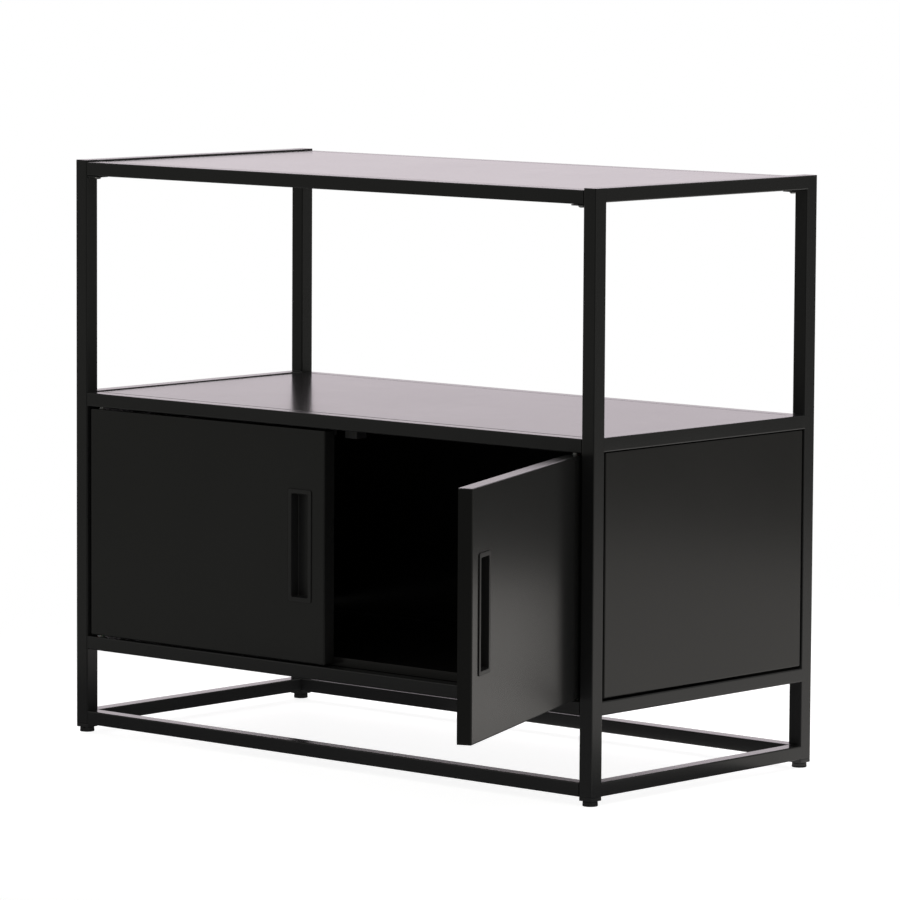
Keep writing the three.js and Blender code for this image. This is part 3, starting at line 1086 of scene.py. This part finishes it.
def pale_floor_finish():
    material, start = new_material("pale_floor")
    place = start.node("TexCoord", output="Object")
    reach = start.node("VectorMath", {"operation": "LENGTH"}, {0: place}, output="Value")
    speckle = noise(start, place, 90, detail=3)
    tone = mix_colours(start, speckle, (0.40, 0.40, 0.40, 1), (0.44, 0.44, 0.44, 1))
    shader = start.node("BsdfPrincipled", inputs={
        "Base Color": tone, "Roughness": 0.7, "Emission Color": (1, 1, 1, 1), "Emission Strength": 0.89,
    })
    clear = start.node("BsdfTransparent")
    fade = start.node("MapRange", {"interpolation_type": "SMOOTHSTEP"}, {
        "Value": reach, "From Min": FLOOR_RADIUS * 0.35, "From Max": FLOOR_RADIUS,
        "To Min": 0.0, "To Max": 1.0,
    })
    output_surface(start, start.node("MixShader", inputs={0: fade, 1: shader, 2: clear}))
    return material


bpy.ops.object.select_all(action="DESELECT")
bpy.ops.mesh.primitive_circle_add(vertices=96, radius=FLOOR_RADIUS, fill_type="NGON")
floor = bpy.context.object
floor.location = middle + Vector((0.25, 0.3, 0))
floor.name = "floor"
floor.data.materials.append(pale_floor_finish())
floor.visible_glossy = False
floor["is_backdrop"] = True

# A dark disc that only reflections see: painted shadow, the floor in front darkened as the sideboard's own
# shade would darken it.
bpy.ops.object.select_all(action="DESELECT")
bpy.ops.mesh.primitive_circle_add(vertices=64, radius=SHADOW_DISC_RADIUS, fill_type="NGON")
shadow_disc = bpy.context.object
shadow_disc.name = "painted_shadow_disc"
shadow_disc.location = middle + Vector((-0.15, -0.2, -0.002))
painted_shadow_finish, start = new_material("painted_floor_shadow")
shadow_speckle = noise(start, start.node("TexCoord", output="Object"), 900)
output_surface(start, start.node("BsdfPrincipled", inputs={
    "Base Color": mix_colours(start, shadow_speckle, (0.01, 0.01, 0.01, 1), (0.02, 0.02, 0.02, 1)), "Roughness": 0.9,
}))
shadow_disc.data.materials.append(painted_shadow_finish)
shadow_disc.visible_camera = False
shadow_disc.visible_diffuse = False
shadow_disc.visible_shadow = False
shadow_disc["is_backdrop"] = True
print("floor of", FLOOR_RADIUS, "m")

# %% [markdown]
# ## World and lights
#
# Black paint shows only what it mirrors, so every light here is placed where some face will mirror it.
# Two broad lights behind give the tops their pale sheen, one overhead lights the floor, and a board of
# light lying on the floor at the back right lifts the right side and the open door. The room around is
# white to the camera and dim to everything else, a little paler at the sides, overhead and underfoot.

# %% World and soft lights
def soft_light(name, place, aim, wide, high, glow, colour=(1, 1, 1)):
    """A rectangular soft light whose surface shines with the radiance `glow`."""
    light = bpy.data.lights.new(name, "AREA")
    light.shape = "RECTANGLE"
    light.size = wide
    light.size_y = high
    light.energy = glow * math.pi * wide * high
    light.color = colour
    lamp = bpy.data.objects.new(name, light)
    lamp.location = place
    lamp.rotation_euler = (Vector(aim) - Vector(place)).to_track_quat("-Z", "Y").to_euler()
    lamp.visible_camera = False
    bpy.context.scene.collection.objects.link(lamp)


world = bpy.data.worlds.new("white_room")
world.use_nodes = True
world.node_tree.nodes.clear()
room = Shade(world.node_tree)
seen = room.node("LightPath", output="Is Camera Ray")
white = room.node("Background", inputs={"Color": (1, 1, 1, 1), "Strength": 1.0})
facing = room.node("TexCoord", output="Generated")
across = room.node("SeparateXYZ", inputs={0: facing}, output="X")
steep = room.node("SeparateXYZ", inputs={0: facing}, output="Z")
walls = mix_colours(room, across * across, (0.05, 0.05, 0.047, 1), (0.41, 0.41, 0.38, 1))
above_or_below = room.node("MapRange", {"interpolation_type": "SMOOTHSTEP"}, {
    "Value": steep * steep, "From Min": 0.04, "From Max": 0.13, "To Min": 0.0, "To Max": 1.0,
})
around = mix_colours(room, above_or_below, walls, (0.34, 0.34, 0.325, 1))
dim = room.node("Background", inputs={"Color": around, "Strength": 1.0})
room.node("OutputWorld", inputs={"Surface": room.node("MixShader", inputs={0: seen, 1: dim, 2: white})})
bpy.context.scene.world = world
bpy.context.scene.view_settings.view_transform = "Standard"

chest = middle + 0.4 * Z
ROSE = (1.0, 0.89, 0.97)
soft_light("back_light", middle + Vector((-3.3, 3.7, 1.4)), chest, 7.0, 3.2, 0.93, ROSE)
soft_light("high_back_light", middle + Vector((-2.4, 2.7, 4.0)), chest, 4.0, 2.4, 2.8, ROSE)
soft_light("top_light", middle + Vector((0.4, 0.5, 3.0)), middle, 3.0, 3.0, 1.2)
board = middle + Vector((1.15, 1.05, 0.002))
soft_light("floor_board", board, board + Z, 2.6, 1.8, 0.67, (1.0, 0.96, 0.92))
print("floor, world and 4 soft lights")

# %% [markdown]
# ## Camera
#
# The camera stands well to the right and a little above, as for a catalogue. A long lens from far away
# keeps the uprights parallel and the far side nearly as large as the near one.

# %% Camera
LENS = 227.64
CAMERA_TURN = math.radians(41.446)
CAMERA_DROP = math.radians(5.976)
CAMERA_ROLL = math.radians(0.325)
CAMERA_PLACE = Vector((4.8029, -5.4168, 1.1439))

lens = bpy.data.cameras.new("camera")
lens.lens = LENS
lens.sensor_width = 36
lens.clip_end = 100
camera = bpy.data.objects.new("camera", lens)
camera.location = middle + CAMERA_PLACE
look = Euler((math.pi / 2 - CAMERA_DROP, 0, CAMERA_TURN)).to_matrix()
camera.rotation_euler = (look @ Matrix.Rotation(CAMERA_ROLL, 3, "Z")).to_euler()
bpy.context.scene.collection.objects.link(camera)
bpy.context.scene.camera = camera
print("camera at", tuple(round(v, 3) for v in camera.location))

# %% Measure and print the sizes, and finish
low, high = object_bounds()
print("visual size", [round(v, 4) for v in high - low])
